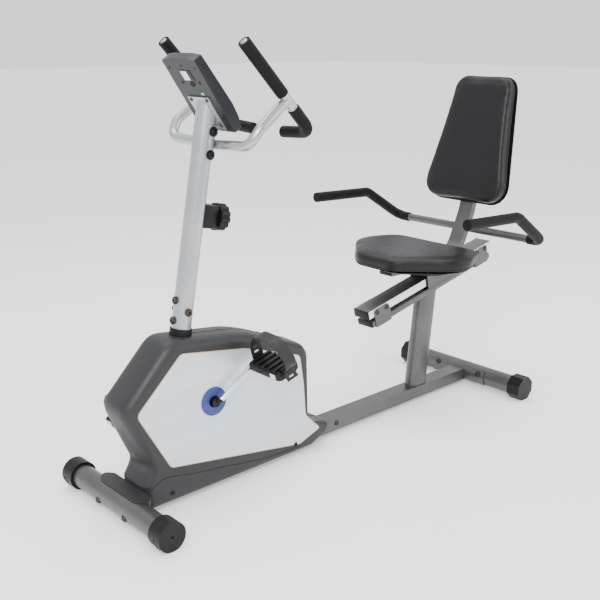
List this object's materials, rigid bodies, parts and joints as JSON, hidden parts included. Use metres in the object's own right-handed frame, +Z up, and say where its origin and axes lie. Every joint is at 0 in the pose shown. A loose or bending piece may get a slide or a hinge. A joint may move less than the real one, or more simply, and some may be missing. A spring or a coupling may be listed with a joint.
{
  "type": "recumbent exercise bike",
  "caption": "Recumbent exercise bike with a seat and backrest that slide on a sloping rail, a shrouded magnetic drive, strapped pedals, a mast with console, and handlebars front and side.",
  "frame": {"origin": "on the floor, at the centre of the footprint's bounding box", "axes": "+X towards the rider's back (the seat end), +Y to the rider's right, +Z up"},
  "size_m": [1.452, 0.6226, 1.1233],
  "materials": {
    "grey_paint": "warm grey metallic powder coat",
    "silver_paint": "satin silver paint",
    "shroud_plastic": "fine-textured charcoal plastic",
    "panel_silver": "smooth silver printed panel",
    "black_plastic": "textured black plastic",
    "console_plastic": "dark grey moulded plastic",
    "blue_plastic": "smooth blue plastic",
    "black_foam": "closed-cell foam grip",
    "black_vinyl": "black vinyl over foam",
    "rubber": "matt black rubber",
    "chrome": "polished chrome plate",
    "steel": "plain machined steel",
    "aluminium": "extruded and clear anodised",
    "cast_iron": "dark cast iron",
    "lens": "clear display window"
  },
  "bodies": {
    "frame": {"main_frame": "grey_paint", "front_stabilizer": "grey_paint", "rear_stabilizer": "grey_paint", "front_cap_left": "black_plastic", "front_cap_right": "black_plastic", "seat_post": "grey_paint", "shroud_left": "shroud_plastic", "shroud_right": "shroud_plastic", "lower_cover": "shroud_plastic", "foot_cover_left": "shroud_plastic", "foot_cover_right": "shroud_plastic", "side_panel_left": "panel_silver", "side_panel_right": "panel_silver", "bearing_left": "steel", "bearing_right": "steel", "crank_disc_left": "blue_plastic", "crank_disc_right": "blue_plastic", "flywheel_axle": "steel", "drive_belt": "rubber", "mast": "silver_paint", "mast_collar": "black_plastic", "handlebar": "silver_paint", "upper_grip_left": "black_foam", "upper_grip_right": "black_foam", "lower_grip_left": "black_foam", "lower_grip_right": "black_foam", "console_front": "console_plastic", "console_back": "console_plastic", "display_lens": "lens", "console_plate": "silver_paint", "tension_housing": "black_plastic", "tension_cable": "rubber", "slide_rail": "aluminium", "base_rail": "grey_paint", "rail_bracket_front": "grey_paint", "rail_bracket_rear": "grey_paint"},
    "flywheel": {"flywheel": "cast_iron"},
    "crank": {"crank_axle": "steel", "drive_pulley": "black_plastic", "crank_left": "chrome", "crank_right": "chrome"},
    "pedal_left": {"pedal_left": "black_plastic", "pedal_strap_left": "rubber"},
    "pedal_right": {"pedal_right": "black_plastic", "pedal_strap_right": "rubber"},
    "tension_knob": {"tension_knob": "black_plastic"},
    "magnet": {"magnet_bracket": "steel"},
    "seat": {"seat_carriage": "grey_paint", "seat_frame": "grey_paint", "seat_cushion": "black_vinyl", "back_cushion": "black_vinyl", "seat_handlebar": "grey_paint", "handle_grip_left": "black_foam", "handle_grip_right": "black_foam"},
    "seat_lock": {"seat_lock_knob": "black_plastic"},
    "wheel_left": {"transport_wheel_left": "rubber"},
    "wheel_right": {"transport_wheel_right": "rubber"},
    "cap_left": {"rear_cap_left": "black_plastic"},
    "cap_right": {"rear_cap_right": "black_plastic"},
    "button": {"mode_button": "rubber"}
  },
  "joints": [
    {"name": "flywheel_spin", "type": "hinge", "parent": "frame", "child": "flywheel", "pos_m": [-0.24148, 0, 0.195], "axis": [0, 1, 0], "continuous": true},
    {"name": "crank_spin", "type": "hinge", "parent": "frame", "child": "crank", "pos_m": [-0.44348, 0, 0.249], "axis": [0, 1, 0], "continuous": true},
    {"name": "pedal_left_spin", "type": "hinge", "parent": "crank", "child": "pedal_left", "pos_m": [-0.3206, 0, 0.33504], "axis": [0, 1, 0], "continuous": true},
    {"name": "pedal_right_spin", "type": "hinge", "parent": "crank", "child": "pedal_right", "pos_m": [-0.56635, 0, 0.16296], "axis": [0, 1, 0], "continuous": true},
    {"name": "tension_turn", "type": "hinge", "parent": "frame", "child": "tension_knob", "pos_m": [-0.38182, 0, 0.70041], "axis": [0.9833, 0, -0.1822], "range_deg": [0, 280]},
    {"name": "magnet_pivot", "type": "hinge", "parent": "frame", "child": "magnet", "pos_m": [-0.31025, 0, 0.26621], "axis": [0, 1, 0], "range_deg": [0, 3.5]},
    {"name": "seat_slide", "type": "slide", "parent": "frame", "child": "seat", "axis": [0.9767, 0, 0.2147], "range_m": [-0.165, 0.05]},
    {"name": "seat_lock_turn", "type": "hinge", "parent": "seat", "child": "seat_lock", "pos_m": [0.49502, 0.0338, 0.4147], "axis": [0, 1, 0], "range_deg": [0, 270]},
    {"name": "wheel_left_spin", "type": "hinge", "parent": "frame", "child": "wheel_left", "pos_m": [-0.70148, -0.2061, 0.029], "axis": [0, 1, 0], "continuous": true},
    {"name": "wheel_right_spin", "type": "hinge", "parent": "frame", "child": "wheel_right", "pos_m": [-0.70148, 0.2061, 0.029], "axis": [0, 1, 0], "continuous": true},
    {"name": "cap_left_turn", "type": "hinge", "parent": "frame", "child": "cap_left", "pos_m": [0.65602, -0.2035, 0.037], "axis": [0, 1, 0], "continuous": true},
    {"name": "cap_right_turn", "type": "hinge", "parent": "frame", "child": "cap_right", "pos_m": [0.65602, 0.2035, 0.037], "axis": [0, 1, 0], "continuous": true},
    {"name": "button_press", "type": "slide", "parent": "frame", "child": "button", "axis": [-0.7886, 0, -0.6149], "range_m": [0, 0.0015], "stiffness_N_per_m": 600}
  ],
  "couplings": [
    {"joint": "crank_spin", "follows": "flywheel_spin", "ratio": 0.23923},
    {"joint": "magnet_pivot", "follows": "tension_turn", "ratio": 0.0125}
  ]
}
